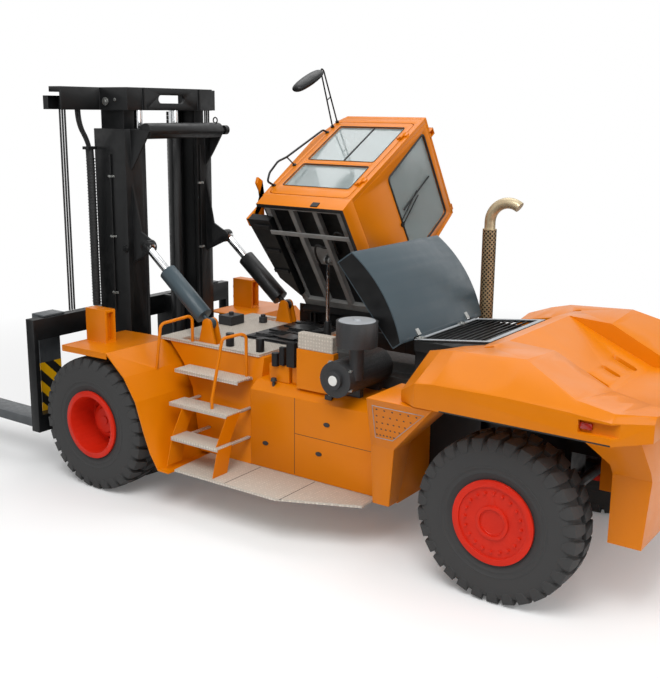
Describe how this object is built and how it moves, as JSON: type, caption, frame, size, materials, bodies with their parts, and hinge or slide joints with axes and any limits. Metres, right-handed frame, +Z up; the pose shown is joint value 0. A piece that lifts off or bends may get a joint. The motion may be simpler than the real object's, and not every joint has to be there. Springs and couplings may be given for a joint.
{
  "type": "heavy diesel forklift truck",
  "caption": "Heavy counterbalanced diesel forklift standing for service, with its cab tilted over the right side and its rear hood open; twin front wheels, wide carriage and long forks.",
  "frame": {"origin": "On the floor, at the middle of the truck's width, under the front axle's centre line.", "axes": "+X runs forward to the fork tips, +Y to the truck's left, +Z up."},
  "size_m": [9.555, 3.876, 4.644],
  "materials": {
    "body_orange": "semi-gloss orange paint",
    "chrome_rod": "bright hard-chromed rod",
    "console_plastic": "black grained plastic",
    "engine_iron": "grey painted iron",
    "exhaust_steel": "bright steel tarnished to brass",
    "fork_black": "worn black fork steel",
    "galvanised": "grey checker plate",
    "glass": "clear cab glass",
    "lamp_glass": "clear lamp lens",
    "mast_black": "satin black paint",
    "rim_red": "gloss red paint",
    "seat_cloth": "black seat cloth",
    "service_grey": "satin blue-grey paint",
    "tyre_rubber": "worn black tyre rubber"
  },
  "bodies": {
    "truck": {"air_cleaner": "engine_iron", "cab_base": "body_orange", "cab_mounts": "mast_black", "chassis": "mast_black", "counterweight": "body_orange", "deck": "galvanised", "deck_gear": "mast_black", "engine": "engine_iron", "exhaust": "exhaust_steel", "fenders": "body_orange", "front_axle": "mast_black", "grille": "mast_black", "handrail": "body_orange", "lamps": "lamp_glass", "radiator": "mast_black", "rear_arches": "body_orange", "side_tanks": "body_orange", "steer_axle": "mast_black", "steps": "galvanised", "tail": "body_orange"},
    "wheel_front_left": {"tyres_front_left": "tyre_rubber", "rims_front_left": "rim_red"},
    "wheel_front_right": {"tyres_front_right": "tyre_rubber", "rims_front_right": "rim_red"},
    "steer_left": {"knuckle_left": "mast_black"},
    "steer_right": {"knuckle_right": "mast_black"},
    "wheel_rear_left": {"tyre_rear_left": "tyre_rubber", "rim_rear_left": "rim_red"},
    "wheel_rear_right": {"tyre_rear_right": "tyre_rubber", "rim_rear_right": "rim_red"},
    "mast": {"mast_outer": "mast_black", "lift_barrels": "mast_black"},
    "inner_mast": {"mast_inner": "mast_black", "lift_rods": "chrome_rod", "leaf_chains": "mast_black"},
    "carriage": {"carriage": "mast_black"},
    "fork_left": {"fork_left": "fork_black"},
    "fork_right": {"fork_right": "fork_black"},
    "tilt_barrel_left": {"tilt_barrel_left": "service_grey"},
    "tilt_rod_left": {"tilt_rod_left": "chrome_rod"},
    "tilt_barrel_right": {"tilt_barrel_right": "service_grey"},
    "tilt_rod_right": {"tilt_rod_right": "chrome_rod"},
    "cab": {"cab_roof": "body_orange", "cab_floor": "body_orange", "cab_side_left": "body_orange", "cab_side_right": "body_orange", "cab_back": "body_orange", "cab_nose": "body_orange", "cab_glass": "glass", "cab_underframe": "mast_black", "cab_seat": "seat_cloth", "cab_console": "console_plastic", "cab_rail": "mast_black", "cab_mirror": "mast_black"},
    "cab_door": {"cab_door": "body_orange", "door_glass": "glass"},
    "cab_ram_barrel": {"cab_ram_barrel": "mast_black"},
    "cab_ram_rod": {"cab_ram_rod": "chrome_rod"},
    "hood": {"hood": "service_grey"}
  },
  "joints": [
    {"name": "wheel_front_left_spin", "type": "hinge", "parent": "truck", "child": "wheel_front_left", "pos_m": [0, 1.2, 0.747], "axis": [0, 1, 0], "continuous": true},
    {"name": "wheel_front_right_spin", "type": "hinge", "parent": "truck", "child": "wheel_front_right", "pos_m": [0, -1.2, 0.747], "axis": [0, 1, 0], "continuous": true},
    {"name": "steer_left", "type": "hinge", "parent": "truck", "child": "steer_left", "pos_m": [-4.73, 0.96, 0.747], "axis": [0, 0, 1], "range_deg": [-55, 55]},
    {"name": "steer_right", "type": "hinge", "parent": "truck", "child": "steer_right", "pos_m": [-4.73, -0.96, 0.747], "axis": [0, 0, 1], "range_deg": [-55, 55]},
    {"name": "wheel_rear_left_spin", "type": "hinge", "parent": "steer_left", "child": "wheel_rear_left", "pos_m": [-4.73, 1.225, 0.747], "axis": [0, 1, 0], "continuous": true},
    {"name": "wheel_rear_right_spin", "type": "hinge", "parent": "steer_right", "child": "wheel_rear_right", "pos_m": [-4.73, -1.225, 0.747], "axis": [0, 1, 0], "continuous": true},
    {"name": "mast_tilt", "type": "hinge", "parent": "truck", "child": "mast", "pos_m": [0.23, 0, 0.48], "axis": [0, 1, 0], "range_deg": [-10, 6]},
    {"name": "tilt_barrel_left_swing", "type": "hinge", "parent": "truck", "child": "tilt_barrel_left", "pos_m": [-0.9, 0.68, 1.835], "axis": [0, 1, 0], "range_deg": [-11.21, 6.92]},
    {"name": "tilt_barrel_right_swing", "type": "hinge", "parent": "truck", "child": "tilt_barrel_right", "pos_m": [-0.9, -0.68, 1.835], "axis": [0, 1, 0], "range_deg": [-11.21, 6.92]},
    {"name": "tilt_rod_left_slide", "type": "slide", "parent": "tilt_barrel_left", "child": "tilt_rod_left", "axis": [0.7723, 0, 0.6353], "range_m": [-0.3116, 0.189]},
    {"name": "tilt_rod_right_slide", "type": "slide", "parent": "tilt_barrel_right", "child": "tilt_rod_right", "axis": [0.7723, 0, 0.6353], "range_m": [-0.3116, 0.189]},
    {"name": "mast_lift", "type": "slide", "parent": "mast", "child": "inner_mast", "axis": [0, 0, 1], "range_m": [-0.19, 1.8]},
    {"name": "carriage_lift", "type": "slide", "parent": "inner_mast", "child": "carriage", "axis": [0, 0, 1], "range_m": [-0.195, 1.805]},
    {"name": "fork_left_shift", "type": "slide", "parent": "carriage", "child": "fork_left", "axis": [0, 1, 0], "range_m": [-0.85, 0.08]},
    {"name": "fork_right_shift", "type": "slide", "parent": "carriage", "child": "fork_right", "axis": [0, 1, 0], "range_m": [-0.08, 0.85]},
    {"name": "cab_tilt", "type": "hinge", "parent": "truck", "child": "cab", "pos_m": [-1.5, -0.83, 1.84], "axis": [1, 0, 0], "range_deg": [-57, 0]},
    {"name": "cab_ram_swing", "type": "hinge", "parent": "truck", "child": "cab_ram_barrel", "pos_m": [-1.76, -0.34, 1], "axis": [1, 0, 0], "range_deg": [-23.41, 0.5]},
    {"name": "cab_ram_slide", "type": "slide", "parent": "cab_ram_barrel", "child": "cab_ram_rod", "axis": [0, 0.0067, 1], "range_m": [-0.6537, 0.003]},
    {"name": "cab_door", "type": "hinge", "parent": "cab", "child": "cab_door", "pos_m": [-2.234, -0.19519, 3.36944], "axis": [0, -0.874, 0.486], "range_deg": [0, 80]},
    {"name": "hood_lift", "type": "hinge", "parent": "truck", "child": "hood", "pos_m": [-3.43, 0, 2], "axis": [0, 1, 0], "range_deg": [0, 55]}
  ],
  "couplings": [
    {"joint": "steer_right", "follows": "steer_left", "ratio": 1},
    {"joint": "tilt_barrel_left_swing", "follows": "mast_tilt", "ratio": 1.0705},
    {"joint": "tilt_barrel_right_swing", "follows": "mast_tilt", "ratio": 1.0705},
    {"joint": "tilt_rod_left_slide", "follows": "mast_tilt", "m_per_rad": 1.7569},
    {"joint": "tilt_rod_right_slide", "follows": "mast_tilt", "m_per_rad": 1.7569},
    {"joint": "carriage_lift", "follows": "mast_lift", "ratio": 1},
    {"joint": "cab_ram_swing", "follows": "cab_tilt", "ratio": 0.40193},
    {"joint": "cab_ram_slide", "follows": "cab_tilt", "m_per_rad": 0.65406}
  ]
}
